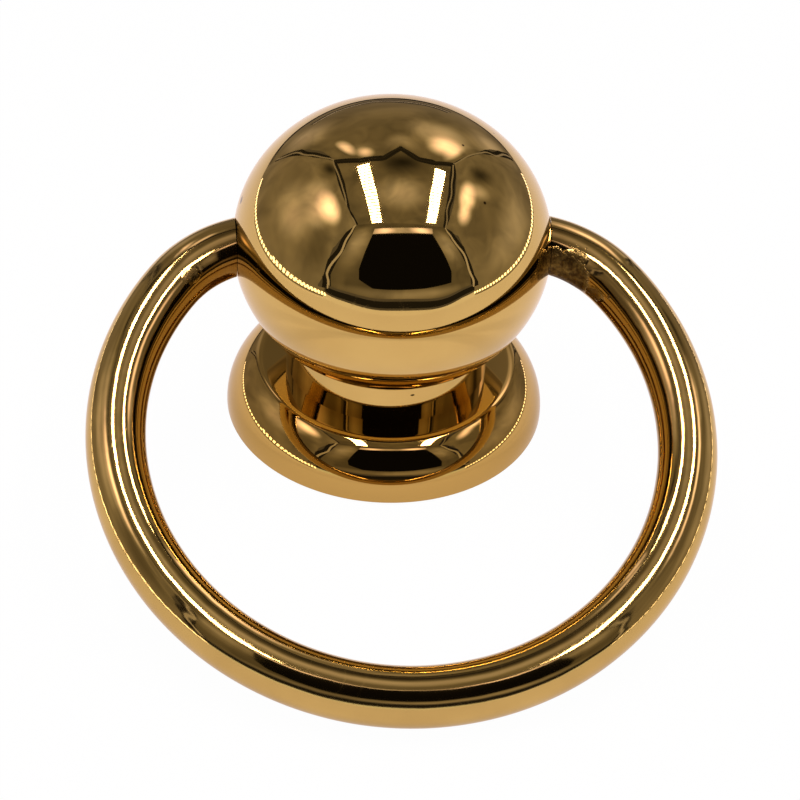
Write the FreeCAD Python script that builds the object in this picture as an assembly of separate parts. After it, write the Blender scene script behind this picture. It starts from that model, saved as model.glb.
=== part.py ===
"""Ring pull handle in solid polished brass for a drawer or a cabinet door.

A slightly flattened ball stands by a short neck on a round, domed foot: all three are one turned casting.
An open ring turns in to the ball at its widest and swings on two pegs in a cross hole through it.
A blind tapped hole in the back takes the fixing screw.

The origin is the centre of the flat back. +Z points away from the drawer front, X is the swing axis and
the ring lies forward of the ball, over -Y, with its front touching the surface that the back stands on.
"""
import FreeCAD, Part
import math
import os

V = FreeCAD.Vector

# Driving dimensions, millimetres and degrees

# Foot, from the flat back up to the ball
FOOT_D = 26.7             # across the foot at its widest
BACK_CHAMFER = 0.2        # broken edge round the flat back
LAND_H = 0.25             # short upright edge, from the back to where the flange starts to curve in
FLANGE_W = 2.45           # how far the convex flange comes in, up to its edge with the flat shoulder
ARRIS_H = 4.6             # height of that edge above the back
ARRIS_ROUND_R = 1.6       # buffing has rounded the edge
SHOULDER_DEG = 3.0        # rise of the shoulder towards the neck
NECK_BASE_D = 16.8        # neck where it leaves the shoulder
NECK_FILLET_R = 0.4       # inside corner there, as the turning tool left it
NECK_D = 16.4             # neck where it runs into the underside of the ball

# Ball, an oval of tangent arcs
BALL_D = 26.0             # across the widest
BALL_H = 23.0             # full height, pole to pole
BALL_CENTRE_H = 16.8      # height of its centre, and of the swing axis, above the back
OVAL_SPLIT_DEG = 45.0     # slope of the surface where the side arc meets the top and bottom arcs

# Fixing hole for an M4 screw
TAP_DRILL_D = 3.3         # wall of the tapped hole
TAP_DEPTH = 9.0           # full-diameter depth below the back
TAP_MOUTH_D = 4.0         # countersink at the mouth
DRILL_POINT_DEG = 118.0   # point angle of the drill

# Ring
RING_D = 49.6             # across the outside
RING_STOCK_D = 4.7        # thickness of the ring
END_BEND_R = 10.0         # tighter bend that turns each end in towards the ball
END_SQUARE_IN = 3.1       # how deep inside the ball the bend would run along the swing axis
END_GAP = 0.15            # running gap between the ring's ends and the ball
PEG_D = 3.0               # pegs on the ring's ends
PEG_IN_BALL = 4.5         # how far each peg enters the ball
PEG_ROOT = 0.5            # how far outside the ball each peg grows out of the ring's end
PEG_CHAMFER = 0.4         # lead-in on the peg's tip
PEG_CLEARANCE = 0.05      # radial play of a peg in the cross hole

# Sizes that follow
BALL_R = BALL_D / 2.0
BALL_HALF_H = BALL_H / 2.0
ARRIS_R = FOOT_D / 2.0 - FLANGE_W               # radius of the edge between flange and shoulder
RING_STOCK_R = RING_STOCK_D / 2.0
RING_LINE_R = RING_D / 2.0 - RING_STOCK_R       # radius of the ring's middle line
END_X = BALL_R - END_SQUARE_IN                  # where the bend runs along the swing axis
BEND_SIDE = RING_LINE_R - END_BEND_R            # from the ring's centre to the centre of a bend
RING_OFFSET = END_BEND_R + math.sqrt(BEND_SIDE ** 2 - END_X ** 2)   # from the swing axis to the ring's centre
BEND_START_DEG = 180.0 - math.degrees(math.asin(END_X / BEND_SIDE))     # from the ring's front to a bend
RING_REACH = RING_OFFSET + RING_LINE_R          # from the swing axis to the ring's far side
RING_DROP_DEG = math.degrees(math.asin((BALL_CENTRE_H - RING_STOCK_R) / RING_REACH))
PIVOT = V(0, 0, BALL_CENTRE_H)


def line(start, end):
    """Straight edge between two points."""
    return Part.LineSegment(start, end).toShape()


def arc_about(centre, radius, start_deg, end_deg):
    """Edge of an arc in the XZ plane about a centre, with angles from +X towards +Z."""
    points = []
    for degrees in (start_deg, (start_deg + end_deg) / 2.0, end_deg):
        angle = math.radians(degrees)
        points.append(centre + V(radius * math.cos(angle), 0, radius * math.sin(angle)))
    return Part.Arc(*points).toShape()


def flange_arc(land_top, arris):
    """Edge of the convex flange: it leaves the upright land in line and ends on the arris."""
    run = land_top.x - arris.x
    rise = arris.z - land_top.z
    radius = (run * run + rise * rise) / (2.0 * run)
    end_deg = math.degrees(math.atan2(rise, radius - run))
    return arc_about(land_top - V(radius, 0, 0), radius, 0.0, end_deg)


def oval_radii():
    """Radii of the ball's side arc and of its top and bottom arcs, tangent at the split slope."""
    split = math.radians(OVAL_SPLIT_DEG)
    cosine, sine = math.cos(split), math.sin(split)
    share = 1.0 - cosine - sine
    side = (BALL_R * (1.0 - sine) - BALL_HALF_H * cosine) / share
    cap = (BALL_HALF_H * (1.0 - cosine) - BALL_R * sine) / share
    return side, cap


def circle_at(solid, point):
    """The round edge of a turned solid that a point of its half outline describes."""
    for edge in solid.Edges:
        box = edge.BoundBox
        if abs(box.ZMin - point.z) < 1e-4 and abs(box.ZMax - point.z) < 1e-4 and edge.isClosed():
            if abs(edge.Length - 2.0 * math.pi * point.x) < 1e-3:
                return edge
    raise RuntimeError(f"no round edge at {point}")


def turned_blank():
    """The post as it leaves the lathe: its half outline revolved about Z, with the seam at the rear."""
    side_r, cap_r = oval_radii()
    top_centre = PIVOT + V(0, 0, BALL_HALF_H - cap_r)
    side_centre = PIVOT + V(BALL_R - side_r, 0, 0)
    bottom_centre = PIVOT - V(0, 0, BALL_HALF_H - cap_r)
    neck_deg = -math.degrees(math.acos(NECK_D / 2.0 / cap_r))

    back_centre = V(0, 0, 0)
    back_edge = V(FOOT_D / 2.0 - BACK_CHAMFER, 0, 0)
    land_bottom = V(FOOT_D / 2.0, 0, BACK_CHAMFER)
    land_top = V(FOOT_D / 2.0, 0, LAND_H)
    arris = V(ARRIS_R, 0, ARRIS_H)
    shoulder_rise = (ARRIS_R - NECK_BASE_D / 2.0) * math.tan(math.radians(SHOULDER_DEG))
    neck_base = V(NECK_BASE_D / 2.0, 0, ARRIS_H + shoulder_rise)
    ball_bottom = arc_about(bottom_centre, cap_r, neck_deg, -OVAL_SPLIT_DEG)
    neck = ball_bottom.firstVertex(True).Point
    pole = PIVOT + V(0, 0, BALL_HALF_H)
    outline = Part.Wire([
        line(back_centre, back_edge),
        line(back_edge, land_bottom),
        line(land_bottom, land_top),
        flange_arc(land_top, arris),
        line(arris, neck_base),
        line(neck_base, neck),
        ball_bottom,
        arc_about(side_centre, side_r, -OVAL_SPLIT_DEG, OVAL_SPLIT_DEG),
        arc_about(top_centre, cap_r, OVAL_SPLIT_DEG, 90.0),
        line(pole, back_centre),
    ])
    half_section = Part.Face(outline)
    half_section.rotate(V(0, 0, 0), V(0, 0, 1), 90.0)
    blank = half_section.revolve(V(0, 0, 0), V(0, 0, 1), 360.0)
    blank = blank.makeFillet(ARRIS_ROUND_R, [circle_at(blank, arris)])
    return blank.makeFillet(NECK_FILLET_R, [circle_at(blank, neck_base)])


def tapped_hole():
    """Cutter for the fixing hole: countersunk mouth, straight wall and the drill's point."""
    wall_r = TAP_DRILL_D / 2.0
    mouth_r = TAP_MOUTH_D / 2.0
    point_h = wall_r / math.tan(math.radians(DRILL_POINT_DEG / 2.0))
    wall = Part.makeCylinder(wall_r, TAP_DEPTH)
    mouth = Part.makeCone(mouth_r, wall_r, mouth_r - wall_r)
    point = Part.makeCone(wall_r, 0, point_h, V(0, 0, TAP_DEPTH))
    return wall.fuse([mouth, point])


def cross_hole():
    """Cutter for the hole right through the ball that carries both pegs."""
    radius = PEG_D / 2.0 + PEG_CLEARANCE
    return Part.makeCylinder(radius, 2.0 * BALL_D, PIVOT - V(BALL_D, 0, 0), V(1, 0, 0))


def ball_post():
    """Ball, neck and foot as one casting, drilled for the screw and the pegs."""
    return turned_blank().cut([tapped_hole(), cross_hole()])


def peg(side):
    """One peg on the swing axis, from inside the ring's end to its chamfered tip in the ball."""
    inward = V(-side, 0, 0)
    radius = PEG_D / 2.0
    shoulder_x = BALL_R - PEG_IN_BALL + PEG_CHAMFER
    root_x = BALL_R + PEG_ROOT
    shank = Part.makeCylinder(radius, root_x - shoulder_x, inward * -root_x, inward)
    tip = Part.makeCone(radius, radius - PEG_CHAMFER, PEG_CHAMFER, inward * -shoulder_x, inward)
    return shank.fuse(tip)


def hoop():
    """Bent round stock, flat, with the swing axis along X: one wide bend and a tighter one at each end."""
    up = V(0, 0, 1)
    centre = V(0, -RING_OFFSET, 0)
    front = centre - V(0, RING_LINE_R, 0)
    section = Part.Face(Part.Wire(Part.makeCircle(RING_STOCK_R, front, V(1, 0, 0))))
    left_start = section.copy()
    left_start.rotate(centre, up, -BEND_START_DEG)
    right_start = section.copy()
    right_start.rotate(centre, up, BEND_START_DEG)
    turn = 180.0 - BEND_START_DEG
    wide = left_start.revolve(centre, up, 2.0 * BEND_START_DEG)
    left = left_start.revolve(V(-END_X, -END_BEND_R, 0), up, -turn)
    right = right_start.revolve(V(END_X, -END_BEND_R, 0), up, turn)
    return wide.fuse([left, right])


def pull_ring():
    """The open ring: bent stock, ends hollowed to the ball, pegs turned inward, lowered onto its rest."""
    ball_room = Part.makeSphere(BALL_R + END_GAP)
    ring = hoop().cut(ball_room).fuse([peg(1), peg(-1)])
    ring.rotate(V(0, 0, 0), V(1, 0, 0), RING_DROP_DEG)
    ring.translate(PIVOT)
    return ring


PARTS = {
    "ball_post": ball_post,
    "pull_ring": pull_ring,
}


def main():
    """Build every piece, report it and write it as a STEP file."""
    os.makedirs("parts", exist_ok=True)
    for name, build in PARTS.items():
        shape = build()
        if len(shape.Solids) != 1 or not shape.isValid():
            raise RuntimeError(f"{name} is not one valid solid")
        box = shape.optimalBoundingBox()
        print(f"{name}: {shape.Volume:.1f} mm3, X {box.XMin:.2f} to {box.XMax:.2f}, "
              f"Y {box.YMin:.2f} to {box.YMax:.2f}, Z {box.ZMin:.2f} to {box.ZMax:.2f}")
        shape.Solids[0].exportStep(f"parts/{name}.step")
    print(f"ring drop {RING_DROP_DEG:.4f} degrees, ring centre {RING_OFFSET:.3f} mm from the swing axis")


main()
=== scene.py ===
"""Looks of the ring pull handle: a polished brass ball post and its swinging ring, lit by a small light tent.

Sizes in the classes are millimetres and become metres where a mesh, lamp or texture is made. The frame is
the part's own: origin in the middle of the flat back, +Z away from the drawer front, X along the swing axis
and the ring forward of the ball, over -Y.
"""
import logging
import math
from collections.abc import Iterable
from dataclasses import dataclass
from enum import Enum

import bpy
import numpy as np
from mathutils import Matrix, Vector


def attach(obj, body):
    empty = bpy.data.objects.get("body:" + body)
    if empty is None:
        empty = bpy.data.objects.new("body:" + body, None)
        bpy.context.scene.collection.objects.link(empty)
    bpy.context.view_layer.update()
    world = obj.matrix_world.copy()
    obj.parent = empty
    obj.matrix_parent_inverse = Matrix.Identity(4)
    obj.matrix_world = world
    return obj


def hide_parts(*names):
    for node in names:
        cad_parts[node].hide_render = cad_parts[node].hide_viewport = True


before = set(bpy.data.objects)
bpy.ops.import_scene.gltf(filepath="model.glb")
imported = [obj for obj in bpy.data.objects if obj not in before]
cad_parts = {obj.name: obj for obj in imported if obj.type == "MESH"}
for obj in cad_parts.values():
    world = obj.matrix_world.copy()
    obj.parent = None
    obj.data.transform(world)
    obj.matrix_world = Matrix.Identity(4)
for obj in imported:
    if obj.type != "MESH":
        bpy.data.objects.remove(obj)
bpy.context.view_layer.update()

MM = 0.001
LOG = logging.getLogger("ring_pull")

BALL_R = 13.0             # the ball at its widest
AXIS_H = 16.8             # the ball's centre and the swing axis above the back
ROOF_H = 230.0            # roof of the light tent above the floor
SHARP_DEG = 30.0          # edges that turn by more than this stay crisp
WHITE = "#FFFFFF"
LIT_WHITE = "#FFEFEE"     # white cloth and floor as reflections show them

# Sockets of a colour Mix node, by index because its other data types use the same names
MIX_SHARE, MIX_FROM, MIX_TO, MIX_RESULT = 0, 6, 7, 2

Tree = bpy.types.NodeTree
Socket = bpy.types.NodeSocket
Flat = tuple[float, float]
Place = tuple[float, float, float]
Faces = list[list[int]]


class Body(Enum):
    """The two bodies of the part that pieces ride on."""

    POST = "post"
    RING = "ring"


def linear(code: str) -> tuple[float, float, float, float]:
    """Turn an sRGB hex colour into linear RGBA.

    Args:
        code: colour as "#RRGGBB".

    Returns:
        Linear red, green, blue and an alpha of 1.
    """
    share = np.array([int(code[i:i + 2], 16) for i in (1, 3, 5)]) / 255.0
    value = np.where(share <= 0.04045, share / 12.92, ((share + 0.055) / 1.055) ** 2.4)
    return (float(value[0]), float(value[1]), float(value[2]), 1.0)


def add_node(tree: Tree, kind: str, inputs: dict[str | int, object] | None = None,
             **settings: str) -> bpy.types.Node:
    """Add one shader node with its settings and links.

    Args:
        tree: node tree that takes the node.
        kind: type of the node, without the prefix "ShaderNode".
        inputs: value or linked output of each input, by the input's name or index.
        settings: properties of the node itself.

    Returns:
        The new node.
    """
    made = tree.nodes.new("ShaderNode" + kind)
    for name, value in settings.items():
        setattr(made, name, value)
    for key, value in (inputs or {}).items():
        if isinstance(value, Socket):
            tree.links.new(value, made.inputs[key])
        else:
            made.inputs[key].default_value = value
    return made


def new_material(name: str) -> bpy.types.Material:
    """Make an empty node material.

    Args:
        name: name of the material.

    Returns:
        The material, with no nodes in its tree.
    """
    material = bpy.data.materials.new(name)
    material.use_nodes = True
    material.node_tree.nodes.clear()
    return material


def link_mesh(name: str, points: np.ndarray, faces: Faces) -> bpy.types.Object:
    """Put points and faces into a new mesh object at the origin.

    Args:
        name: name of the object and of its mesh.
        points: array of n x 3 positions in millimetres.
        faces: corner indices of each face.

    Returns:
        The linked object.
    """
    mesh = bpy.data.meshes.new(name)
    mesh.from_pydata((points * MM).tolist(), [], faces)
    mesh.update()
    made = bpy.data.objects.new(name, mesh)
    bpy.context.scene.collection.objects.link(made)
    return made


def closed_skin(name: str, rows: np.ndarray) -> bpy.types.Object:
    """Skin of a closed body: loops of points from one pole to the other.

    The point in row i and column j is joined to its neighbours i + 1 and j + 1 by a quad, the last column to
    the first, and the first and last rows, which hold one point each, by fans of triangles. The signed volume
    of the quads' diagonals decides which way round the faces go, so that they point outwards.

    Args:
        name: name of the piece.
        rows: array of loops x columns x 3 positions in millimetres, with the poles as constant rows.

    Returns:
        The object, smooth-shaded between its crisp edges.
    """
    loops, columns = rows.shape[0] - 2, rows.shape[1]
    body = rows[1:-1].reshape(-1, 3)
    points = np.vstack([body, rows[:1, 0], rows[-1:, 0]])
    here = np.arange(loops * columns).reshape(loops, columns)
    after = np.roll(here, -1, axis=1)
    quads = np.stack([here[:-1], after[:-1], after[1:], here[1:]], axis=-1).reshape(-1, 4)
    start = np.stack([np.full(columns, len(body)), after[0], here[0]], axis=-1)
    end = np.stack([np.full(columns, len(body) + 1), here[-1], after[-1]], axis=-1)
    corner = points[quads] - points.mean(axis=0)
    volume = np.einsum("ij,ij->", corner[:, 0], np.cross(corner[:, 1], corner[:, 2]))
    volume += np.einsum("ij,ij->", corner[:, 0], np.cross(corner[:, 2], corner[:, 3]))
    if volume < 0.0:
        quads, start, end = quads[:, ::-1], start[:, ::-1], end[:, ::-1]
    made = link_mesh(name, points, quads.tolist() + start.tolist() + end.tolist())
    made.data.shade_smooth()
    made.data.set_sharp_from_angle(angle=math.radians(SHARP_DEG))
    return made


def straight(start: Flat, end: Flat, count: int) -> np.ndarray:
    """Points on a straight stretch of an outline: start + t (end - start), with t from 0 to 1.

    Args:
        start: first point, as radius and height.
        end: last point.
        count: how many points.

    Returns:
        Array of count x 2 points.
    """
    share = np.linspace(0.0, 1.0, count)[:, None]
    return np.array(start) + share * (np.array(end) - np.array(start))


def arc(centre: Flat, radii: Flat, turn: Flat, count: int) -> np.ndarray:
    """Points on an arc of an outline: centre + (a cos t, b sin t), with t between two angles.

    Args:
        centre: middle of the arc, as radius and height.
        radii: half axes a and b, equal on a round arc.
        turn: first and last angle in radians.
        count: how many points.

    Returns:
        Array of count x 2 points.
    """
    angle = np.linspace(turn[0], turn[1], count)
    return np.array(centre) + np.stack([radii[0] * np.cos(angle), radii[1] * np.sin(angle)], axis=-1)


@dataclass(frozen=True)
class Spot:
    """An ellipsoid that fades outwards from its centre: a marked place on brass or a lit one on a sheet."""

    centre: Place
    radii: Place
    amount: float = 1.0
    lean_deg: float = 0.0

    def fade(self, tree: Tree, place: Socket) -> Socket:
        """Measure how deep inside the spot a place lies.

        Args:
            tree: node tree that the spot is part of.
            place: object coordinates.

        Returns:
            1 in the middle, falling evenly to 0 at the border.
        """
        laid = add_node(tree, "Mapping", {"Vector": place, "Location": [c * MM for c in self.centre],
                                          "Rotation": (0.0, math.radians(self.lean_deg), 0.0),
                                          "Scale": [r * MM for r in self.radii]}, vector_type="TEXTURE")
        ball = add_node(tree, "TexGradient", {"Vector": laid.outputs["Vector"]}, gradient_type="SPHERICAL")
        return ball.outputs["Fac"]


@dataclass(frozen=True)
class BuffedBrass:
    """Solid brass, ground and buffed to a mirror.

    A clear warm reflection with a few cloudier patches, some faint hair scratches from handling, and small
    dark marks: pits where the casting was porous and nicks at the places that the photograph shows. A span is
    the pair of values of a texture between which its pattern rises from none to full.
    """

    name: str
    metal: str = "#D0B36C"
    dark_tone: str = "#BA9852"
    pit_colour: str = "#3A2610"
    mirror_roughness: float = 0.02
    cloud_roughness: float = 0.05
    scratch_roughness: float = 0.09
    cloud_mm: float = 6.0
    cloud_span: Flat = (0.35, 0.75)
    haze_tone: float = 0.3
    ripple_mm: float = 5.0
    ripple_depth_mm: float = 0.012
    scratch_gap_mm: float = 2.4
    scratch_length_mm: float = 18.0
    scratch_width: float = 0.015
    scratch_turn: Place = (0.4, 0.9, 0.2)
    handled_mm: float = 9.0
    handled_span: Flat = (0.52, 0.66)
    pit_gap_mm: float = 7.0
    pit_share: float = 0.018
    pit_core: float = 0.6
    mark_border: float = 0.5
    # Spots of painted shade, where the brass takes its darker tone because it reflects shaded floor, and how
    # soon each spot is fully dark
    painted_shade_border: float = 0.15
    marks: tuple[Spot, ...] = ()
    painted_shade: tuple[Spot, ...] = ()

    def material(self) -> bpy.types.Material:
        """Build the material.

        Returns:
            The finished brass.
        """
        material = new_material(self.name)
        tree = material.node_tree
        place = add_node(tree, "TexCoord").outputs["Object"]
        cloud = add_node(tree, "TexNoise", {"Vector": place, "Scale": 1.0 / (self.cloud_mm * MM),
                                            "Detail": 3.0}).outputs["Fac"]
        haze = add_node(tree, "MapRange", {"Value": cloud, "From Min": self.cloud_span[0],
                                           "From Max": self.cloud_span[1]}).outputs["Result"]
        tone = add_node(tree, "Mix", {MIX_SHARE: self.haze_and_shade_share(tree, place, haze),
                                      MIX_FROM: linear(self.metal), MIX_TO: linear(self.dark_tone)},
                        data_type="RGBA").outputs[MIX_RESULT]
        colour = add_node(tree, "Mix", {MIX_SHARE: self.pits(tree, place), MIX_FROM: tone,
                                        MIX_TO: linear(self.pit_colour)},
                          data_type="RGBA").outputs[MIX_RESULT]
        polish = add_node(tree, "MapRange", {"Value": haze, "To Min": self.mirror_roughness,
                                             "To Max": self.cloud_roughness}).outputs["Result"]
        worn = add_node(tree, "Math", {0: self.scratches(tree, place), 1: self.scratch_roughness, 2: polish},
                        operation="MULTIPLY_ADD").outputs[0]
        ripple = add_node(tree, "TexNoise", {"Vector": place, "Scale": 1.0 / (self.ripple_mm * MM),
                                             "Detail": 1.0}).outputs["Fac"]
        relief = add_node(tree, "Bump", {"Height": ripple, "Strength": 1.0,
                                         "Distance": self.ripple_depth_mm * MM}).outputs["Normal"]
        colour, roughness, normal = self.dress_ends(tree, place, colour, worn, relief)
        shader = add_node(tree, "BsdfPrincipled", {"Base Color": colour, "Metallic": 1.0,
                                                   "Roughness": roughness, "Normal": normal})
        add_node(tree, "OutputMaterial", {"Surface": shader.outputs["BSDF"]})
        return material

    def haze_and_shade_share(self, tree: Tree, place: Socket, haze: Socket) -> Socket:
        """How far the brass goes to its darker tone: a little in the cloudy patches, fully in the spots of
        painted shade, where it reflects shaded floor.

        Args:
            tree: node tree of the brass.
            place: object coordinates.
            haze: strength of the cloudy patches.

        Returns:
            Share of the darker tone, 0 to 1.
        """
        share = add_node(tree, "Math", {0: haze, 1: self.haze_tone}, operation="MULTIPLY").outputs[0]
        # Painted shade: each spot takes the brass to its darker tone where it reflects shaded floor
        for spot in self.painted_shade:
            shade_share = add_node(tree, "MapRange", {"Value": spot.fade(tree, place),
                                               "From Max": self.painted_shade_border,
                                               "To Max": spot.amount}).outputs["Result"]
            share = add_node(tree, "Math", {0: share, 1: shade_share}, operation="MAXIMUM").outputs[0]
        return share

    def scratches(self, tree: Tree, place: Socket) -> Socket:
        """Hair scratches: the thin borders between long cells, kept only where hands have worn the polish.

        Args:
            tree: node tree of the brass.
            place: object coordinates.

        Returns:
            Strength of the scratches, 0 to 1.
        """
        cell = (self.scratch_gap_mm * MM, self.scratch_length_mm * MM, self.scratch_length_mm * MM)
        laid = add_node(tree, "Mapping", {"Vector": place, "Rotation": self.scratch_turn, "Scale": cell},
                        vector_type="TEXTURE")
        border = add_node(tree, "TexVoronoi", {"Vector": laid.outputs["Vector"], "Scale": 1.0},
                          feature="DISTANCE_TO_EDGE")
        hair = add_node(tree, "MapRange", {"Value": border.outputs["Distance"],
                                           "From Max": self.scratch_width, "To Min": 1.0, "To Max": 0.0})
        touch = add_node(tree, "TexNoise", {"Vector": place, "Scale": 1.0 / (self.handled_mm * MM)})
        worn = add_node(tree, "MapRange", {"Value": touch.outputs["Fac"], "From Min": self.handled_span[0],
                                           "From Max": self.handled_span[1]})
        return add_node(tree, "Math", {0: hair.outputs["Result"], 1: worn.outputs["Result"]},
                        operation="MULTIPLY").outputs[0]

    def pits(self, tree: Tree, place: Socket) -> Socket:
        """Casting pits, as small spots about the random centres of wide cells, and the listed marks.

        Args:
            tree: node tree of the brass.
            place: object coordinates.

        Returns:
            Cover of pits and marks, 0 to 1.
        """
        cell = add_node(tree, "TexVoronoi", {"Vector": place, "Scale": 1.0 / (self.pit_gap_mm * MM)})
        cover = add_node(tree, "MapRange", {"Value": cell.outputs["Distance"],
                                            "From Min": self.pit_share * self.pit_core,
                                            "From Max": self.pit_share,
                                            "To Min": 1.0, "To Max": 0.0}).outputs["Result"]
        for mark in self.marks:
            dark = add_node(tree, "MapRange", {"Value": mark.fade(tree, place), "From Max": self.mark_border,
                                               "To Max": mark.amount}).outputs["Result"]
            cover = add_node(tree, "Math", {0: cover, 1: dark}, operation="MAXIMUM").outputs[0]
        return cover

    def dress_ends(self, tree: Tree, place: Socket, colour: Socket, roughness: Socket,
                   normal: Socket) -> tuple[Socket, Socket, Socket]:
        """Leave the buffed surface as it is; a finish with unpolished places changes it here."""
        return colour, roughness, normal


@dataclass(frozen=True)
class CastBrass(BuffedBrass):
    """Brass cast in sand and buffed by hand: a soft sheen as far as the wheel reached.

    Small ripples break up the edges of the reflections. By the ends the wheel never got in behind the ball,
    so dark, grainy casting skin with open pores is left.
    """

    dark_tone: str = "#947542"
    mirror_roughness: float = 0.055
    cloud_roughness: float = 0.12
    ripple_mm: float = 1.8
    ripple_depth_mm: float = 0.016
    skin_colour: str = "#4A381C"
    skin_light: str = "#86703C"
    skin_light_span: Flat = (0.4, 0.65)
    skin_roughness: float = 0.40
    skin_grain_mm: float = 0.5
    skin_depth_mm: float = 0.09
    skin_edge: Flat = (0.38, 0.52)
    pore_gap_mm: float = 0.75
    pore_span: Flat = (0.16, 0.30)
    pore_strength: float = 0.6
    pore_edge: Flat = (0.36, 0.56)
    border_break: float = 0.5
    skin: tuple[Spot, ...] = ()
    pores: tuple[Spot, ...] = ()

    def dress_ends(self, tree: Tree, place: Socket, colour: Socket, roughness: Socket,
                   normal: Socket) -> tuple[Socket, Socket, Socket]:
        """Lay casting skin and pores over the buffed brass near the ends.

        Each patch fades outwards from its centre, and the grain breaks up its border.

        Args:
            tree: node tree of the brass.
            place: object coordinates.
            colour: colour of the buffed brass.
            roughness: its roughness.
            normal: its normal.

        Returns:
            Colour, roughness and normal with the skin in place.
        """
        grain = add_node(tree, "TexNoise", {"Vector": place, "Scale": 1.0 / (self.skin_grain_mm * MM),
                                            "Detail": 4.0, "Roughness": 0.65}).outputs["Fac"]
        cell = add_node(tree, "TexVoronoi", {"Vector": place, "Scale": 1.0 / (self.pore_gap_mm * MM)})
        pore = add_node(tree, "MapRange", {"Value": cell.outputs["Distance"], "From Min": self.pore_span[0],
                                           "From Max": self.pore_span[1], "To Min": self.pore_strength,
                                           "To Max": 0.0}).outputs["Result"]
        cover = 0.0
        for patches, broken_by, edge in ((self.skin, grain, self.skin_edge),
                                         (self.pores, pore, self.pore_edge)):
            for patch in patches:
                border = add_node(tree, "Math", {0: broken_by, 1: self.border_break,
                                                 2: patch.fade(tree, place)},
                                  operation="MULTIPLY_ADD").outputs[0]
                here = add_node(tree, "MapRange", {"Value": border, "From Min": edge[0], "From Max": edge[1],
                                                   "To Max": patch.amount}).outputs["Result"]
                cover = add_node(tree, "Math", {0: cover, 1: here}, operation="MAXIMUM").outputs[0]
        tint = add_node(tree, "MapRange", {"Value": grain, "From Min": self.skin_light_span[0],
                                           "From Max": self.skin_light_span[1]})
        skin = add_node(tree, "Mix", {MIX_SHARE: tint.outputs["Result"], MIX_FROM: linear(self.skin_colour),
                                      MIX_TO: linear(self.skin_light)}, data_type="RGBA")
        colour = add_node(tree, "Mix", {MIX_SHARE: cover, MIX_FROM: colour,
                                        MIX_TO: skin.outputs[MIX_RESULT]},
                          data_type="RGBA").outputs[MIX_RESULT]
        roughness = add_node(tree, "MapRange", {"Value": cover, "To Min": roughness,
                                                "To Max": self.skin_roughness}).outputs["Result"]
        height = add_node(tree, "Math", {0: grain, 1: cover}, operation="MULTIPLY")
        relief = add_node(tree, "Bump", {"Height": height.outputs[0], "Strength": 1.0,
                                         "Distance": self.skin_depth_mm * MM, "Normal": normal})
        return colour, roughness, relief.outputs["Normal"]


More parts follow.
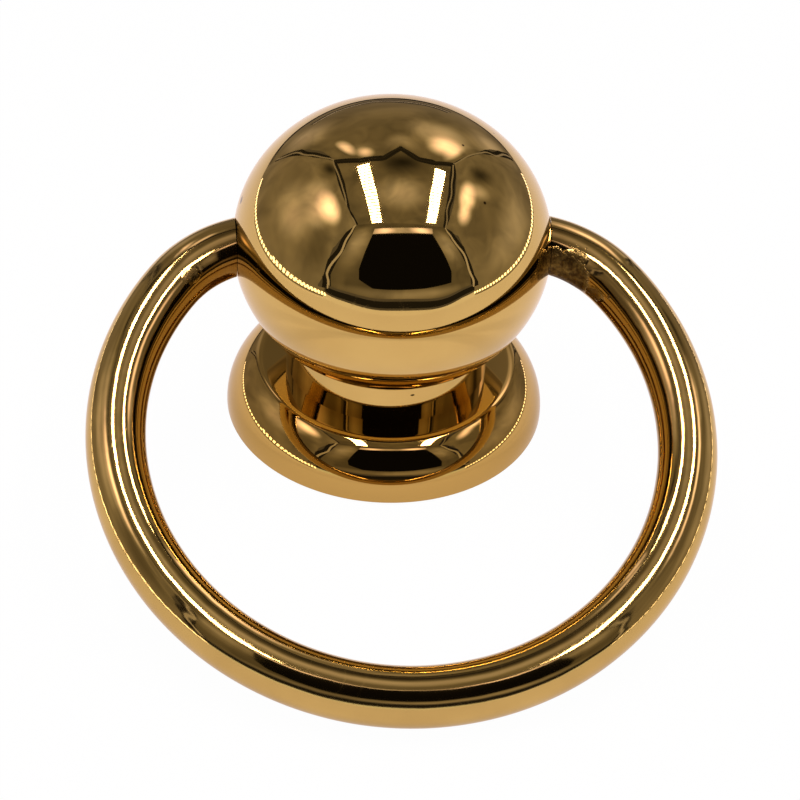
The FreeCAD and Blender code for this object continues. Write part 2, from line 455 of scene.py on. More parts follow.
@dataclass
class BallPost:
    """Ball, neck and domed foot, turned from one casting and tapped from the back for its screw."""

    foot_r: float = 13.35
    back_chamfer: float = 0.2
    land_h: float = 0.25
    arris_r: float = 10.65
    arris_h: float = 4.74
    arris_round: float = 0.3
    shoulder_deg: float = -2.0
    neck_base_r: float = 8.4
    neck_r: float = 8.2
    ball_r: float = BALL_R
    ball_half_h: float = 11.5
    ball_h: float = AXIS_H
    tap_r: float = 1.65
    thread_depth: float = 0.35
    thread_pitch: float = 0.7
    tap_depth: float = 9.0
    mouth_r: float = 2.0
    drill_point_h: float = 0.99
    cross_hole_r: float = 1.55
    bit_reach: float = 15.6
    columns: int = 240
    bit_columns: int = 48

    # How many points each stretch of the outline has
    tip_points: int = 5
    wall_points: int = 100
    back_points: int = 8
    land_points: int = 3
    flange_points: int = 48
    edge_points: int = 13
    shoulder_points: int = 24
    neck_points: int = 24
    ball_points: int = 180

    # Pits and nicks, and painted shade on the foot, darker where it reflects the shaded floor beside it
    marks: tuple[Spot, ...] = (
        Spot((5.0, -1.5, 27.3), (0.15, 0.15, 0.15)), Spot((6.4, -6.2, 25.1), (0.18, 0.18, 0.18)),
        Spot((-12.3, 0.9, 20.4), (0.4, 0.5, 0.35)), Spot((1.5, -8.1, 7.25), (0.22, 0.2, 0.12)),
        Spot((-6.0, -11.4, 18.0), (0.5, 0.3, 0.10), 0.35))
    painted_shade: tuple[Spot, ...] = (Spot((0.0, 0.0, 0.0), (40.0, 40.0, 6.0), 0.8),)

    def outline(self) -> np.ndarray:
        """Half outline from the bottom of the tapped hole, over back, flange, neck and ball, to the top.

        The flange is an arc that leaves the upright land in line and ends on a buffed edge. The shoulder and
        the neck are straight, with the sharp corner of the turning tool between them, and the ball is an
        ellipse.

        Returns:
            Array of points as radius and height.
        """
        run, rise = self.foot_r - self.arris_r, self.arris_h - self.land_h
        flange_r = (run * run + rise * rise) / (2.0 * run)
        flange = arc((self.foot_r - flange_r, self.land_h), (flange_r, flange_r),
                     (0.0, math.atan2(rise, flange_r - run)), self.flange_points)
        neck_turn = -math.acos(self.neck_r / self.ball_r)
        shoulder_rise = (self.arris_r - self.neck_base_r) * math.tan(math.radians(self.shoulder_deg))
        base = (self.neck_base_r, self.arris_h + shoulder_rise)
        neck_top = (self.neck_r, self.ball_h + self.ball_half_h * math.sin(neck_turn))
        shoulder = straight((self.arris_r, self.arris_h), base, self.shoulder_points)
        neck = straight(base, neck_top, self.neck_points)
        ball = arc((0.0, self.ball_h), (self.ball_r, self.ball_half_h), (neck_turn, math.pi / 2.0),
                   self.ball_points)
        flange, shoulder = self.buffed_edge(flange, shoulder)
        back = straight((self.mouth_r, 0.0), (self.foot_r - self.back_chamfer, 0.0), self.back_points)
        land = straight((self.foot_r, self.back_chamfer), (self.foot_r, self.land_h), self.land_points)
        tip = straight((0.0, self.tap_depth + self.drill_point_h), (self.tap_r, self.tap_depth),
                       self.tip_points)
        wall = straight((self.tap_r, self.tap_depth), (self.tap_r, self.mouth_r - self.tap_r),
                        self.wall_points)
        return np.vstack([tip[:-1], wall, back, land[:-1], flange, shoulder[:-1], neck[:-1], ball])

    def buffed_edge(self, before: np.ndarray, after: np.ndarray) -> tuple[np.ndarray, np.ndarray]:
        """Round the edge between two stretches of the outline with a small parabola.

        Points nearer to the edge than the rounding reaches are dropped, and a parabola with the edge as its
        control point, (1-t)^2 p + 2 t (1-t) edge + t^2 q, takes their place.

        Args:
            before: stretch that ends on the edge.
            after: stretch that starts there.

        Returns:
            Both stretches, with the parabola at the end of the first.
        """
        edge = after[0]
        before = before[np.linalg.norm(before - edge, axis=1) > self.arris_round]
        after = after[np.linalg.norm(after - edge, axis=1) > self.arris_round]
        share = np.linspace(0.0, 1.0, self.edge_points)[1:-1, None]
        bend = (1 - share) ** 2 * before[-1] + 2 * share * (1 - share) * edge + share ** 2 * after[0]
        return np.vstack([before, bend]), after

    def build(self) -> bpy.types.Object:
        """Revolve the outline, cut the thread and drill the cross hole.

        A point of the outline at radius r and height h becomes (r cos a, r sin a, h). On the wall of the
        tapped hole the radius grows by half the thread's depth times 1 + cos(2 pi h / pitch - a), a helix.

        Returns:
            The finished post.
        """
        outline = self.outline()
        radius, height = outline[:, 0:1], outline[:, 1:2]
        angle = np.linspace(0.0, 2.0 * math.pi, self.columns, endpoint=False)[None, :]
        low, high = self.mouth_r - self.tap_r + self.thread_pitch, self.tap_depth - self.thread_pitch
        in_hole = (radius == self.tap_r) & (height > low) & (height < high)
        helix = 0.5 + 0.5 * np.cos(2.0 * math.pi * height / self.thread_pitch - angle)
        reach = radius + np.where(in_hole, self.thread_depth * helix, 0.0)
        rows = np.stack([reach * np.cos(angle), reach * np.sin(angle), height + 0.0 * angle], axis=-1)
        post = closed_skin("brass_ball_post", rows)
        self.drill(post)
        return post

    def drill(self, post: bpy.types.Object) -> None:
        """Cut the cross hole that takes the ring's pegs.

        Args:
            post: the turned post.
        """
        turn = np.linspace(0.0, 2.0 * math.pi, self.bit_columns, endpoint=False)
        side = np.array([-self.bit_reach, -self.bit_reach, self.bit_reach, self.bit_reach])
        size = np.array([0.0, self.cross_hole_r, self.cross_hole_r, 0.0])
        rows = np.stack([side[:, None] + 0.0 * turn, size[:, None] * np.cos(turn),
                         self.ball_h + size[:, None] * np.sin(turn)], axis=-1)
        bit = closed_skin("cross_drill", rows)
        cut = post.modifiers.new("cross_hole", "BOOLEAN")
        cut.operation = "DIFFERENCE"
        cut.solver = "EXACT"
        cut.object = bit
        graph = bpy.context.evaluated_depsgraph_get()
        drilled = bpy.data.meshes.new_from_object(post.evaluated_get(graph))
        post.modifiers.clear()
        post.data = drilled
        post.data.set_sharp_from_angle(angle=math.radians(SHARP_DEG))
        bpy.data.objects.remove(bit)

    def dress(self, post: bpy.types.Object) -> None:
        """Give the post its brass and its place on the frame.

        Args:
            post: the finished mesh.
        """
        post.data.materials.clear()
        brass = BuffedBrass("turned_brass_buffed", marks=self.marks, painted_shade=self.painted_shade)
        post.data.materials.append(brass.material())
        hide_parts("ball_post")
        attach(post, Body.POST.value)


@dataclass
class PullRing:
    """Open ring of round stock whose ends turn in to the ball and carry the pegs it swings on."""

    line_r: float = 22.45
    stock_r: float = 2.35
    bend_r: float = 10.0
    square_x: float = 9.9
    end_gap: float = 0.02
    ball_r: float = BALL_R
    pivot_h: float = AXIS_H
    peg_r: float = 1.5
    peg_tip_x: float = 8.5
    peg_chamfer: float = 0.4
    wave_mm: float = 0.012
    columns: int = 96
    wide_loops: int = 480
    bend_loops: int = 60
    hollow_loops: int = 12

    # Casting skin and pores by the ends, and painted shade on the inner side, darker where it reflects the
    # shaded floor under the ring
    metal: str = "#C9AC66"
    skin: tuple[Spot, ...] = (Spot((13.9, -3.4, 15.9), (2.5, 2.8, 2.3)),
                              Spot((12.9, -3.0, 17.2), (1.0, 1.2, 1.2), 0.8))
    pores: tuple[Spot, ...] = (Spot((14.3, -3.3, 17.4), (2.4, 1.5, 1.1), 0.8),
                               Spot((16.6, -5.0, 15.4), (2.2, 1.8, 1.0), 0.7),
                               Spot((-16.4, -4.7, 17.0), (1.4, 1.4, 0.9), 0.35))
    painted_shade: tuple[Spot, ...] = (Spot((0.0, -16.4, 10.5), (22.6, 21.1, 80.0)),)

    def lowered(self, rows: np.ndarray) -> np.ndarray:
        """Turn the flat ring about the swing axis until its front lies on the floor, and lift it to the axis.

        Args:
            rows: positions with the ring flat and the swing axis through the origin.

        Returns:
            Positions in the part's frame.
        """
        reach = self.line_r + self.centre_offset()
        drop = math.asin((self.pivot_h - self.stock_r) / reach)
        turn = np.array(Matrix.Rotation(drop, 3, "X"))
        return rows @ turn.T + np.array([0.0, 0.0, self.pivot_h])

    def centre_offset(self) -> float:
        """Distance from the swing axis to the ring's centre."""
        return self.bend_r + math.sqrt((self.line_r - self.bend_r) ** 2 - self.square_x ** 2)

    def build(self) -> bpy.types.Object:
        """Work out the ring as loops of points from the tip of one peg to the tip of the other.

        Round the stock by angle p and along the ring by angle s, a point lies r sin p above the ring's plane
        and at distance q = R + r cos p from the centre of its bend, towards (sin s, -cos s). The wide bend is
        about the ring's centre, and beyond the angle where the tighter bend takes over both R and the centre
        are that bend's own. Each line of constant p ends on the sphere that leaves room for the ball, where
        x sin s + R cos s = (S^2 - x^2 - R^2 - q^2 - (r sin p)^2) / (2 q), with (x, -R) the bend's centre.
        The hollowed end runs over that sphere from the rim to the peg, a cylinder about the axis.

        Returns:
            The finished ring.
        """
        around = np.linspace(0.0, 2.0 * math.pi, self.columns, endpoint=False)
        room = self.ball_r + self.end_gap
        start = math.pi - math.asin(self.square_x / (self.line_r - self.bend_r))
        away = self.bend_r + self.stock_r * np.cos(around)
        above = self.stock_r * np.sin(around)
        centre_r = math.hypot(self.square_x, self.bend_r)
        meets = (room ** 2 - centre_r ** 2 - away ** 2 - above ** 2) / (2.0 * away * centre_r)
        ends = math.atan2(self.square_x, self.bend_r) + np.arccos(meets)
        wide = np.linspace(-start, start, self.wide_loops)[:, None] + 0.0 * around
        bend = start + np.linspace(0.0, 1.0, self.bend_loops)[1:, None] * (ends - start)
        right_stock = self.stock(bend, around, (self.square_x, -self.bend_r), self.bend_r)
        left_stock = self.stock(-bend[::-1], around, (-self.square_x, -self.bend_r), self.bend_r)
        wide_stock = self.stock(wide, around, (0.0, -self.centre_offset()), self.line_r)
        right = np.concatenate([right_stock, self.end(right_stock[-1])])
        mirror = np.array([-1.0, 1.0, 1.0])
        left = np.concatenate([self.end(left_stock[0] * mirror)[::-1] * mirror, left_stock])
        rows = np.concatenate([left, wide_stock, right])
        return closed_skin("brass_pull_ring", self.lowered(rows))

    def stock(self, along: np.ndarray, around: np.ndarray, centre: Flat, bend: float) -> np.ndarray:
        """Loops of the round stock on one bend, with the shallow waves of hand buffing.

        Args:
            along: angle of each point along the ring.
            around: angle of each column round the stock.
            centre: middle of the bend in the ring's plane.
            bend: radius of the bend.

        Returns:
            Positions of the loops.
        """
        size = self.stock_r - self.hand_wave(along, around)
        away = bend + size * np.cos(around)
        return np.stack([centre[0] + away * np.sin(along), centre[1] - away * np.cos(along),
                         size * np.sin(around)], axis=-1)

    def end(self, rim: np.ndarray) -> np.ndarray:
        """Hollowed end face and peg of the right-hand end, as loops inward from the rim.

        Args:
            rim: last loop of the stock.

        Returns:
            Positions of the loops down to the middle of the peg's tip.
        """
        room = self.ball_r + self.end_gap
        facing = np.arctan2(rim[:, 2], rim[:, 1])
        peg_x = np.array([math.sqrt(room ** 2 - self.peg_r ** 2), self.peg_tip_x + self.peg_chamfer,
                          self.peg_tip_x, self.peg_tip_x])
        peg_size = np.array([self.peg_r, self.peg_r, self.peg_r - self.peg_chamfer, 0.0])
        peg = np.stack([peg_x[:, None] + 0.0 * facing, peg_size[:, None] * np.cos(facing),
                        peg_size[:, None] * np.sin(facing)], axis=-1)
        inward = np.linspace(0.0, 1.0, self.hollow_loops)[1:-1, None, None]
        hollow = rim + inward * (peg[0] - rim)
        hollow *= room / np.linalg.norm(hollow, axis=-1, keepdims=True)
        return np.concatenate([hollow, peg])

    def hand_wave(self, along: np.ndarray, around: np.ndarray) -> np.ndarray:
        """Depth of the shallow unevenness that hand buffing leaves, as a sum of a few long waves.

        Args:
            along: angle of each point along the ring.
            around: angle round the stock.

        Returns:
            Depth in millimetres, never above the true round.
        """
        waves = ((11.0, 1.0, 0.3), (17.0, -2.0, 1.7), (26.0, 1.0, 4.1), (7.0, 2.0, 2.2))
        total = sum(np.sin(length * along + turns * around + start) for length, turns, start in waves)
        return self.wave_mm * (0.5 + total / (2.0 * len(waves)))

    def dress(self, ring: bpy.types.Object) -> None:
        """Give the ring its brass and its place on the frame.

        Args:
            ring: the finished mesh.
        """
        brass = CastBrass("cast_brass_hand_buffed", metal=self.metal, painted_shade=self.painted_shade, skin=self.skin,
                          pores=self.pores)
        ring.data.materials.append(brass.material())
        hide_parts("pull_ring")
        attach(ring, Body.RING.value)


@dataclass(frozen=True)
class Cloth:
    """Light of one sheet: the level of its shaded part, and brighter or, where negative, darker places.

    Levels are brightness against the floor, which counts as 1.
    """

    level: float
    glows: tuple[Spot, ...] = ()


@dataclass(frozen=True)
class Fold:
    """A pleat where two sheets of the tent meet: dark in its depth, with a lit crest along its middle."""

    name: str
    path: tuple[Place, ...]
    width: float
    crest: float = 0.35


@dataclass
class LightTent:
    """Small tent of white sheet with two rows of lamps under its roof and an opening in front.

    Only reflections see it: it hangs round the object and is hidden from the camera.
    """

    lit_tint: str = LIT_WHITE
    lit_span: Flat = (0.15, 0.5)
    glow_tint: str = "#FFE6F8"
    glow_span: Flat = (0.5, 1.2)
    shade_tint: str = "#FFEAD2"
    cloth_mm: float = 55.0
    cloth_span: Flat = (0.3, 0.7)
    cloth_light: Flat = (0.72, 1.28)
    hem_h: float = 9.0
    front_left: Flat = (-117.0, -102.0)
    front_right: Flat = (142.0, -114.0)
    back_edge: tuple[Flat, ...] = ((-135, 142), (-64, 99), (-19, 92), (19, 128), (52, 93), (89, 91),
                                   (143, 115))
    floor_left: Flat = (-140.0, 214.0)
    floor_right: Flat = (150.0, 205.0)

    # Light on each sheet
    roof_cloth: Cloth = Cloth(0.19, (
        Spot((14.0, -18.0, ROOF_H), (82.0, 62.0, 40.0), 0.48),
        Spot((18.0, 72.0, ROOF_H), (85.0, 58.0, 40.0), -0.17)))
    left_cloth: Cloth = Cloth(0.27, (
        Spot((-123.0, -12.0, 162.0), (40.0, 54.0, 44.0), 2.9),
        Spot((-123.0, -12.0, 122.0), (40.0, 38.0, 40.0), 0.5),
        Spot((-125.0, 8.0, 74.0), (40.0, 40.0, 40.0), 0.3),
        Spot((-126.0, 22.0, 150.0), (50.0, 60.0, 60.0), 0.5),
        Spot((-126.0, 30.0, 90.0), (60.0, 80.0, 70.0), 0.28),
        Spot((-131.0, 98.0, 205.0), (40.0, 48.0, 60.0), -0.24),
        Spot((-120.0, -60.0, 80.0), (40.0, 45.0, 60.0), -0.12)))
    right_cloth: Cloth = Cloth(0.25, (
        Spot((144.0, 10.0, 177.0), (40.0, 54.0, 36.0), 2.7),
        Spot((143.0, -38.0, 172.0), (40.0, 36.0, 32.0), 1.7),
        Spot((145.0, 34.0, 148.0), (40.0, 26.0, 42.0), 0.5),
        Spot((145.0, 80.0, 140.0), (40.0, 36.0, 46.0), -0.2),
        Spot((146.0, 20.0, 48.0), (60.0, 120.0, 50.0), 0.3)))
    back_cloth: Cloth = Cloth(0.21, (
        Spot((-74.0, 131.0, 178.0), (17.0, 60.0, 42.0), 2.3),
        Spot((-49.0, 110.0, 206.0), (22.0, 60.0, 26.0), 1.6),
        Spot((-45.0, 150.0, 190.0), (46.0, 70.0, 26.0), 0.25),
        Spot((110.0, 130.0, 178.0), (24.0, 70.0, 54.0), 1.3, 5.0),
        Spot((88.0, 125.0, 166.0), (38.0, 60.0, 46.0), 1.9),
        Spot((78.0, 154.0, 140.0), (66.0, 70.0, 56.0), 0.62),
        Spot((17.0, 142.0, 195.0), (52.0, 70.0, 36.0), 0.24),
        Spot((-95.0, 190.0, 75.0), (60.0, 70.0, 60.0), 0.46),
        Spot((132.0, 175.0, 70.0), (50.0, 70.0, 60.0), 0.40)))
    front_cloth: Cloth = Cloth(0.14, (
        Spot((-82.0, -104.0, 140.0), (45.0, 60.0, 85.0), 0.32),
        Spot((105.0, -112.0, 140.0), (45.0, 60.0, 85.0), 0.34),
        Spot((12.0, -108.0, 32.0), (130.0, 40.0, 14.0), 0.26)))
    lip_cloth: Cloth = Cloth(0.75, (
        Spot((55.0, -108.0, 190.0), (34.0, 30.0, 30.0), 2.5),
        Spot((-30.0, -106.0, 182.0), (30.0, 30.0, 30.0), 1.5)))

    # Edges of the lit lip over the opening and of the dark opening, as x and height on the front sheet
    lip_top: tuple[Flat, ...] = ((-53.0, 193.0), (88.0, 206.0))
    lip_low: tuple[Flat, ...] = ((-53.0, 168.0), (80.0, 178.0))
    opening: Cloth = Cloth(0.005)
    opening_top: tuple[Flat, ...] = ((-57.0, 71.0), (-53.0, 166.0), (-32.0, 167.0), (33.0, 171.0),
                                     (78.0, 175.0), (84.0, 67.0))
    opening_low: tuple[Flat, ...] = ((-57.0, 71.0), (-53.0, 52.0), (-32.0, 40.0), (33.0, 41.0),
                                     (78.0, 45.0), (84.0, 67.0))
    opening_lift: float = 2.0

    # Rows of lamps under the roof, and rows of painted glints along the foot of the side sheets: small
    # glowing squares for the lamps' reflections at the seam with the floor
    lamp: Cloth = Cloth(36.0)
    lamp_width: float = 26.0
    lamp_length: float = 4.8
    lamp_count: int = 20
    lamp_drop: float = 5.0
    left_lamps: tuple[Flat, ...] = ((-60.5, 73.0), (-53.5, -20.0), (-53.0, -97.0))
    right_lamps: tuple[Flat, ...] = ((99.5, 65.0), (88.5, -16.0), (89.0, -97.0))
    glint: Cloth = Cloth(5.0)
    glint_gap: float = 6.6
    glint_size: float = 4.4
    seam_glints: tuple[tuple[str, Place, Place], ...] = (
        ("left_seam_glints", (-133.0, 162.0, 5.0), (-114.0, -104.0, 6.5)),
        ("left_front_seam_glints", (-117.0, 0.0, 9.0), (-112.0, -102.0, 9.0)),
        ("right_seam_glints", (145.0, 158.0, 5.0), (139.5, -112.0, 7.0)))

    # Folds hang a little way in from the sheets and sway by waves, each with its turn and start in radians
    fold_drop: float = 2.0
    fold_lift: float = 3.0
    fold_clear: float = 4.0
    fold_points: int = 48
    fold_sway: float = 1.3
    fold_waves: tuple[Flat, ...] = ((11.0, 0.0), (19.0, 1.0))

    def hang(self, name: str, points: np.ndarray, faces: Faces, cloth: Cloth) -> None:
        """Hang one piece of the tent where only reflections see it.

        A sheet with lit places is a little uneven, as hanging cloth is.

        Args:
            name: name of the piece.
            points: its corners in millimetres.
            faces: corner indices of each face.
            cloth: its light.
        """
        made = link_mesh(name, points, faces)
        material = new_material(name + "_light")
        tree = material.node_tree
        if cloth.glows:
            light = self.lit_cloth(tree, cloth)
        else:
            light = add_node(tree, "Emission", {"Color": linear(self.lit_tint), "Strength": cloth.level})
        add_node(tree, "OutputMaterial", {"Surface": light.outputs["Emission"]})
        made.data.materials.append(material)
        made.visible_camera = False
        made.visible_shadow = False

    def lit_cloth(self, tree: Tree, cloth: Cloth) -> bpy.types.Node:
        """Shader of a sheet with lit places: warmer in the shade, pinkish white where a lamp falls on it.

        Args:
            tree: node tree of the sheet's material.
            cloth: the sheet's light.

        Returns:
            The emission node.
        """
        place = add_node(tree, "TexCoord").outputs["Object"]
        drape = add_node(tree, "TexNoise", {"Vector": place, "Scale": 1.0 / (self.cloth_mm * MM),
                                            "Detail": 2.0, "Distortion": 0.6}).outputs["Fac"]
        uneven = add_node(tree, "MapRange", {"Value": drape, "From Min": self.cloth_span[0],
                                             "From Max": self.cloth_span[1], "To Min": self.cloth_light[0],
                                             "To Max": self.cloth_light[1]}).outputs["Result"]
        total = cloth.level
        for glow in cloth.glows:
            soft = add_node(tree, "MapRange", {"Value": glow.fade(tree, place), "To Max": glow.amount},
                            interpolation_type="SMOOTHSTEP").outputs["Result"]
            total = add_node(tree, "Math", {0: soft, 1: total}).outputs[0]
        strength = add_node(tree, "Math", {0: total, 1: uneven}, operation="MULTIPLY").outputs[0]
        colour = linear(self.shade_tint)
        for tint, span in ((self.lit_tint, self.lit_span), (self.glow_tint, self.glow_span)):
            lit = add_node(tree, "MapRange", {"Value": total, "From Min": span[0], "From Max": span[1]})
            colour = add_node(tree, "Mix", {MIX_SHARE: lit.outputs["Result"], MIX_FROM: colour,
                                            MIX_TO: linear(tint)}, data_type="RGBA").outputs[MIX_RESULT]
        return add_node(tree, "Emission", {"Color": colour, "Strength": strength})

    def sheet(self, name: str, upper: list[Place], lower: list[Place], cloth: Cloth) -> None:
        """Hang a sheet between two edges, each point of the upper one joined to its fellow on the lower.

        Args:
            name: name of the sheet.
            upper: points of the upper edge in millimetres.
            lower: as many points of the lower edge.
            cloth: its light.
        """
        count = len(upper)
        here = np.arange(count - 1)
        faces = np.stack([here, here + 1, here + count + 1, here + count], axis=-1).tolist()
        self.hang(name, np.array([*upper, *lower], dtype=float), faces, cloth)

    def pleat(self, fold: Fold) -> None:
        """Lay a fold along its path: a soft shade, the dark depth on it and the lit crest on top.

        The path is divided evenly. A point p on it becomes p + w s and p - w s, where s is the unit vector
        square to the path's direction and to p, and both are moved by a few millimetres of wave along s.

        Args:
            fold: the fold.
        """
        knots = np.array(fold.path, dtype=float)
        share = np.linspace(0.0, 1.0, self.fold_points)
        even = np.linspace(0.0, 1.0, len(knots))
        middle = np.stack([np.interp(share, even, knots[:, i]) for i in range(3)], axis=-1)
        side = np.cross(np.gradient(middle, axis=0), middle)
        side /= np.linalg.norm(side, axis=1, keepdims=True)
        wave = sum(np.sin(share * turn + start) for turn, start in self.fold_waves)
        middle = middle + self.fold_sway * wave[:, None] * side
        for layer, width, level, inward in (("shade", 1.7, 0.12, 1.0), ("depth", 1.0, 0.02, 0.993),
                                            ("crest", 0.2, fold.crest, 0.986)):
            half = fold.width * width / 2.0 * side
            self.sheet(f"{fold.name}_{layer}", ((middle + half) * inward).tolist(),
                       ((middle - half) * inward).tolist(), Cloth(level))

    def glint_row(self, name: str, start: Place, end: Place) -> None:
        """Row of painted glints along the foot of a side sheet: small glowing squares for the lamps'
        reflections at the seam.

        Args:
            name: name of the row.
            start: first glint.
            end: last glint.
        """
        run = np.array(end, dtype=float) - np.array(start)
        length = float(np.linalg.norm(run))
        share = np.linspace(0.0, 1.0, int(length / self.glint_gap))[:, None, None]
        along = run / length * self.glint_size / 2.0
        rise = np.array([0.0, 0.0, self.glint_size / 2.0])
        square = np.array([-along - rise, along - rise, along + rise, rise - along])
        points = (np.array(start) + share * run + square).reshape(-1, 3)
        self.hang(name, points, np.arange(len(points)).reshape(-1, 4).tolist(), self.glint)

    def lamps(self, name: str, run: tuple[Flat, ...]) -> None:
        """Row of lamps under the roof, evenly spaced along a bent line.

        Args:
            name: name of the row.
            run: points of the line.
        """
        corner = np.array(run)
        y = np.linspace(corner[0, 1], corner[-1, 1], self.lamp_count)
        x = np.interp(-y, -corner[:, 1], corner[:, 0])
        middle = np.stack([x, y], axis=-1)[:, None, :]
        square = np.array([[-1, -1], [1, -1], [1, 1], [-1, 1]]) / 2.0
        flat = (middle + square * (self.lamp_width, self.lamp_length)).reshape(-1, 2)
        points = np.column_stack([flat, np.full(len(flat), ROOF_H - self.lamp_drop)])
        self.hang(name, points, np.arange(len(points)).reshape(-1, 4).tolist(), self.lamp)

    def front(self, x: float, z: float, lift: float = 0.0) -> Place:
        """Point on the front sheet, or a little way in from it towards the object."""
        share = (x - self.front_left[0]) / (self.front_right[0] - self.front_left[0])
        return (x, self.front_left[1] + share * (self.front_right[1] - self.front_left[1]) + lift, z)

    def along_front(self, run: Iterable[Flat], lift: float) -> list[Place]:
        """Points a little way in from the front sheet, for places given as x and height."""
        return [self.front(x, z, lift) for x, z in run]

    def build(self) -> None:
        """Hang the sheets, then the opening, the folds, the painted glints and the lamps in front of them."""
        self.hang_sheets()
        self.sheet("tent_opening", self.along_front(self.opening_top, self.opening_lift),
                   self.along_front(self.opening_low, self.opening_lift), self.opening)
        self.sheet("tent_lip", self.along_front(self.lip_top, self.opening_lift),
                   self.along_front(self.lip_low, self.opening_lift), self.lip_cloth)
        for fold in self.folds():
            self.pleat(fold)
        # Painted glints of the lamps along the foot of the side sheets
        for name, start, end in self.seam_glints:
            self.glint_row(name, start, end)
        self.lamps("left_lamps", self.left_lamps)
        self.lamps("right_lamps", self.right_lamps)

    def hang_sheets(self) -> None:
        """Hang roof, side, back and front sheets: the back falls from the roof's bent edge to the floor."""
        left, right = self.front_left[0], self.front_right[0]
        back = [(*point, ROOF_H) for point in self.back_edge]
        share = np.linspace(0.0, 1.0, len(back))
        front = [self.front(x, ROOF_H) for x in left + share * (right - left)]
        ground_left, ground_right = (*self.floor_left, 0.0), (*self.floor_right, 0.0)
        ground = [tuple(np.array(ground_left) + s * (np.array(ground_right) - ground_left)) for s in share]
        self.sheet("tent_roof", back, front, self.roof_cloth)
        self.sheet("tent_left", [front[0], back[0]], [self.front(left, 0.0), ground_left], self.left_cloth)
        self.sheet("tent_right", [front[-1], back[-1]], [self.front(right, 0.0), ground_right],
                   self.right_cloth)
        self.sheet("tent_back", back, ground, self.back_cloth)
        self.sheet("tent_front", [front[0], front[-1]],
                   [self.front(left, self.hem_h), self.front(right, self.hem_h)], self.front_cloth)

    def folds(self) -> tuple[Fold, ...]:
        """Pleats between the sheets, each a given path along the edge where two of them meet.

        Returns:
            The folds, a little way in from the sheets.
        """
        top = ROOF_H - self.fold_drop
        corner_fl, corner_fr = (*self.front_left, top), (*self.front_right, top)
        corner_bl, corner_br = (*self.back_edge[0], top), (*self.back_edge[-1], top)
        back = tuple((x, y - self.fold_clear, top) for x, y in self.back_edge)
        left_run = ((-111.0, 172.0), (-107.0, 110.0), (-114.0, 50.0), (-104.0, 22.0))
        right_run = ((131.0, 164.0), (138.0, 109.0), (140.0, 50.0), (134.0, 22.0))
        hem_run = ((-110.0, 21.0), (-50.0, 17.0), (3.0, 15.0), (70.0, 16.0), (138.0, 19.0))
        return (
            Fold("roof_left_fold", (corner_bl, (-121, 36, top), (-124, -47, top), corner_fl), 17.0),
            Fold("roof_right_fold", (corner_br, (133, 50, top), (132, 3, top), (132, -57, top), corner_fr),
                 17.0),
            Fold("roof_back_fold", back, 18.0, 0.03),
            Fold("back_left_fold", (corner_bl, (-133, 155, 153), (-134, 180, 94), (-136, 207, 27)), 16.0),
            Fold("back_right_fold", (corner_br, (145, 156, 122), (146, 164, 74), (146, 197, 11)), 16.0),
            Fold("front_left_fold", (corner_fl, *self.along_front(left_run, self.fold_lift)), 22.0, 0.6),
            Fold("front_right_fold", (corner_fr, *self.along_front(right_run, self.fold_lift)), 22.0, 0.6),
            Fold("front_hem", tuple(self.along_front(hem_run, self.fold_lift)), 11.0, 0.02),
            Fold("back_hem", ((*self.floor_left, 8.0), (0.0, 206.0, 8.0), (*self.floor_right, 8.0)),
                 12.0, 0.05),
            Fold("back_crease", ((-60.0, 196.0, 32.0), (0.0, 195.0, 28.0), (60.0, 190.0, 30.0)), 10.0, 0.8),
        )


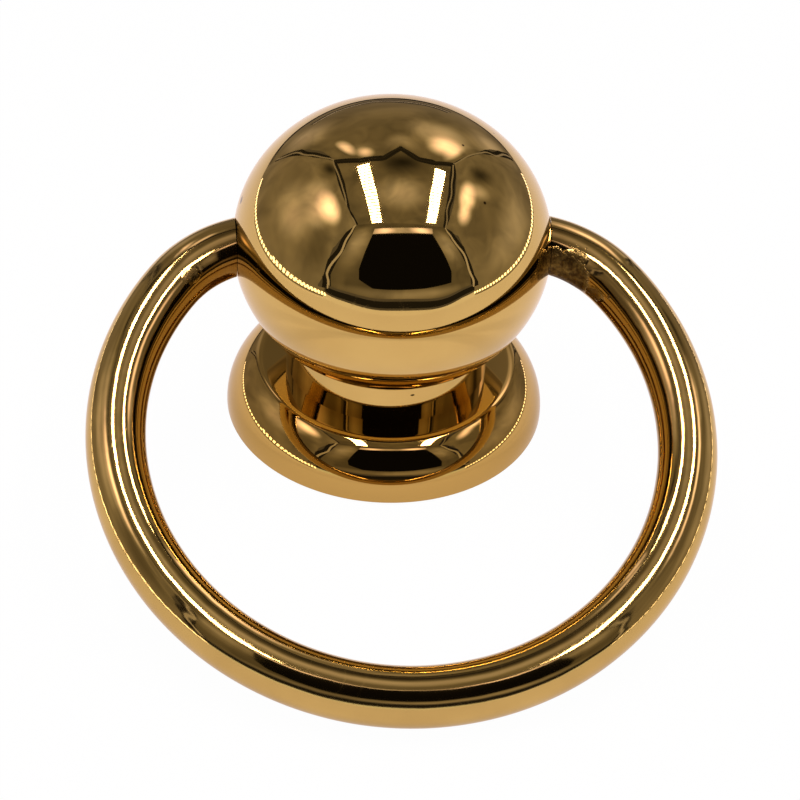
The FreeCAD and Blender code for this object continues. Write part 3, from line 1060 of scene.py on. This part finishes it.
@dataclass
class Floor:
    """Plain white floor that keeps the soft shadow of the object."""

    half_side: float = 1500.0
    camera_share: float = 0.985
    mirror_share: float = 0.72
    paint: str = "#F4F4F4"

    def build(self) -> bpy.types.Object:
        """Lay the floor.

        Returns:
            The floor.
        """
        side = self.half_side
        corners = np.array([[-side, -side, 0.0], [side, -side, 0.0], [side, side, 0.0], [-side, side, 0.0]])
        floor = link_mesh("floor", corners, [[0, 1, 2, 3]])
        material = new_material("matt_white_floor")
        tree = material.node_tree
        path = add_node(tree, "LightPath")
        mirrored = add_node(tree, "Math", {0: path.outputs["Is Glossy Ray"], 1: self.mirror_share},
                            operation="MULTIPLY")
        share = add_node(tree, "Math", {0: path.outputs["Is Camera Ray"], 1: self.camera_share,
                                        2: mirrored.outputs[0]}, operation="MULTIPLY_ADD")
        matt = add_node(tree, "BsdfDiffuse", {"Color": linear(self.paint)})
        tint = add_node(tree, "Mix", {MIX_SHARE: path.outputs["Is Camera Ray"], MIX_FROM: linear(LIT_WHITE),
                                      MIX_TO: linear(WHITE)}, data_type="RGBA")
        white = add_node(tree, "Emission", {"Color": tint.outputs[MIX_RESULT], "Strength": 1.0})
        both = add_node(tree, "MixShader", {0: share.outputs[0], 1: matt.outputs["BSDF"],
                                            2: white.outputs["Emission"]})
        add_node(tree, "OutputMaterial", {"Surface": both.outputs["Shader"]})
        floor.data.materials.append(material)
        return floor


@dataclass
class PhotoCamera:
    """Camera at the photograph's place: above and in front, a little to one side."""

    target: Place = (0.145, -11.293, 9.424)
    distance: float = 219.35
    elevation_deg: float = 39.851
    azimuth_deg: float = -6.318
    roll_deg: float = 3.435
    lens: float = 123.27
    sensor: float = 36.0
    nearest: float = 10.0

    def build(self) -> bpy.types.Object:
        """Place the camera.

        Returns:
            The camera, set as the scene's own.
        """
        rise, side, roll = (math.radians(v) for v in (self.elevation_deg, self.azimuth_deg, self.roll_deg))
        back = Vector((math.sin(side) * math.cos(rise), -math.cos(side) * math.cos(rise), math.sin(rise)))
        level = Vector((math.cos(side), math.sin(side), 0.0))
        upright = back.cross(level)
        right = math.cos(roll) * level + math.sin(roll) * upright
        up = math.cos(roll) * upright - math.sin(roll) * level
        data = bpy.data.cameras.new("photo_camera")
        data.lens = self.lens
        data.sensor_width = self.sensor
        data.clip_start = self.nearest * MM
        camera = bpy.data.objects.new("photo_camera", data)
        bpy.context.scene.collection.objects.link(camera)
        turn = Matrix((right, up, back)).transposed().to_4x4()
        place = (Vector(self.target) + back * self.distance) * MM
        camera.matrix_world = Matrix.Translation(place) @ turn
        bpy.context.scene.camera = camera
        return camera


def light_world() -> None:
    """White surroundings for the camera and for reflections, and a soft even light for the floor."""
    world = bpy.data.worlds.new("white_room")
    bpy.context.scene.world = world
    world.use_nodes = True
    tree = world.node_tree
    tree.nodes.clear()
    white = add_node(tree, "Background", {"Color": linear(WHITE), "Strength": 1.0})
    add_node(tree, "OutputWorld", {"Surface": white.outputs["Background"]})


def main() -> None:
    """Build the pieces, the stage and the camera in order."""
    logging.basicConfig(level=logging.INFO, format="%(name)s: %(message)s")
    bpy.context.scene.view_settings.view_transform = "Standard"
    for assembly in (BallPost(), PullRing()):
        piece = assembly.build()
        assembly.dress(piece)
        LOG.info("%s: %d faces", piece.name, len(piece.data.polygons))
    Floor().build()
    LightTent().build()
    light_world()
    PhotoCamera().build()


if __name__ == "__main__":
    main()
